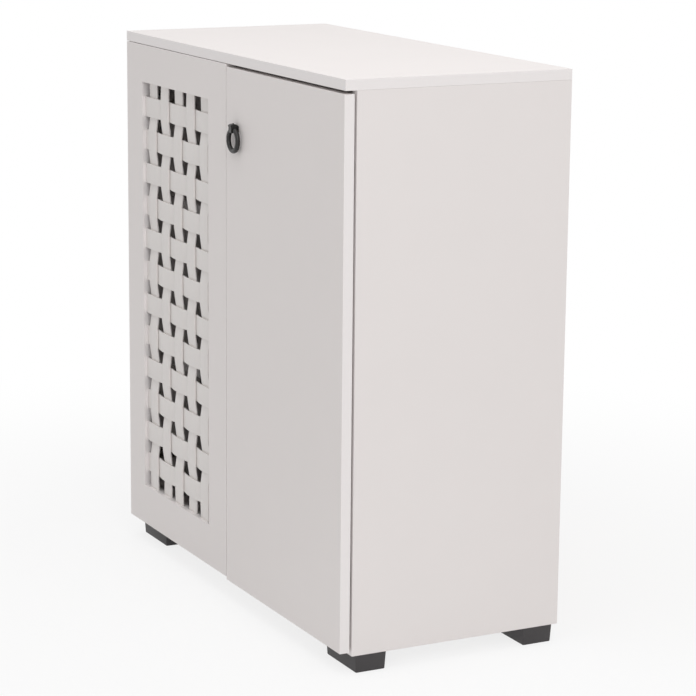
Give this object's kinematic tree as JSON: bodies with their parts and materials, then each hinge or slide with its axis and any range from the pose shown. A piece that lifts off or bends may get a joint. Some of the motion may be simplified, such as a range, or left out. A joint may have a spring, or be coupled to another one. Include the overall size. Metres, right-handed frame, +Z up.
{
  "type": "two-door storage cabinet",
  "caption": "Low white storage cabinet with a woven-lattice door, a plain door with a ring pull, inner shelves and dark block feet.",
  "frame": {"origin": "on the floor, under the middle of the whole cabinet with its ring pull", "axes": "+X to the right of a person facing the doors, +Y from the doors to the back, +Z up"},
  "size_m": [0.745, 0.3564, 0.81],
  "materials": {
    "melamine_board": "white melamine-faced chipboard, fine matt grain",
    "door_board": "white melamine-faced chipboard with white edge band, satin",
    "back_hardboard": "thin hardboard, white lacquer on its front, bare brown behind",
    "lattice_strip": "thin bent strips with white foil, satin",
    "foot_plastic": "dark grey moulded plastic, fine texture",
    "black_metal": "cast zinc with black lacquer, semi-gloss",
    "nickel_plated_steel": "pressed steel, nickel plated",
    "hinge_pin_steel": "bright drawn steel",
    "zinc_plated_steel": "zinc-plated steel",
    "cast_zinc": "die-cast zinc, dull grey",
    "beech_dowel": "fluted beech, bare",
    "bumper_rubber": "clear grey soft rubber"
  },
  "bodies": {
    "case": {"back_panel": "back_hardboard", "bottom_panel": "melamine_board", "cam_bolts": "zinc_plated_steel", "cam_locks": "cast_zinc", "door_bumpers": "bumper_rubber", "foot_screws": "zinc_plated_steel", "front_left_foot": "foot_plastic", "front_right_foot": "foot_plastic", "hinge_arm_screws": "zinc_plated_steel", "hinge_plate_screws": "zinc_plated_steel", "left_lower_hinge_arm": "nickel_plated_steel", "left_lower_hinge_plate": "nickel_plated_steel", "left_side_panel": "melamine_board", "left_upper_hinge_arm": "nickel_plated_steel", "left_upper_hinge_plate": "nickel_plated_steel", "lower_shelf": "melamine_board", "rear_left_foot": "foot_plastic", "rear_right_foot": "foot_plastic", "right_lower_hinge_arm": "nickel_plated_steel", "right_lower_hinge_plate": "nickel_plated_steel", "right_side_panel": "melamine_board", "right_upper_hinge_arm": "nickel_plated_steel", "right_upper_hinge_plate": "nickel_plated_steel", "shelf_pins": "nickel_plated_steel", "top_panel": "melamine_board", "upper_shelf": "melamine_board", "wooden_dowels": "beech_dowel"},
    "left_door": {"left_door_frame": "door_board", "left_hinge_cup_screws": "zinc_plated_steel", "left_hinge_pins": "hinge_pin_steel", "left_lower_hinge_cup": "nickel_plated_steel", "left_upper_hinge_cup": "nickel_plated_steel", "rail_slat_01": "lattice_strip", "rail_slat_02": "lattice_strip", "rail_slat_03": "lattice_strip", "rail_slat_04": "lattice_strip", "rail_slat_05": "lattice_strip", "rail_slat_06": "lattice_strip", "rail_slat_07": "lattice_strip", "rail_slat_08": "lattice_strip", "rail_slat_09": "lattice_strip", "rail_slat_10": "lattice_strip", "rail_slat_11": "lattice_strip", "rail_slat_12": "lattice_strip", "upright_slat_1": "lattice_strip", "upright_slat_2": "lattice_strip", "upright_slat_3": "lattice_strip", "upright_slat_4": "lattice_strip", "upright_slat_5": "lattice_strip"},
    "right_door": {"pull_lug": "black_metal", "pull_screw": "zinc_plated_steel", "right_door_panel": "door_board", "right_hinge_cup_screws": "zinc_plated_steel", "right_hinge_pins": "hinge_pin_steel", "right_lower_hinge_cup": "nickel_plated_steel", "right_upper_hinge_cup": "nickel_plated_steel"},
    "pull_ring": {"pull_ring": "black_metal", "pull_pin": "black_metal"}
  },
  "joints": [
    {"name": "left_door_hinge", "type": "hinge", "parent": "case", "child": "left_door", "pos_m": [-0.364, -0.16025, 0.412], "axis": [0, 0, -1], "range_deg": [0, 95]},
    {"name": "right_door_hinge", "type": "hinge", "parent": "case", "child": "right_door", "pos_m": [0.364, -0.16025, 0.412], "axis": [0, 0, 1], "range_deg": [0, 95]},
    {"name": "pull_ring_swing", "type": "hinge", "parent": "right_door", "child": "pull_ring", "pos_m": [0.038, -0.17225, 0.7055], "axis": [-1, 0, 0], "range_deg": [-4, 180]}
  ]
}
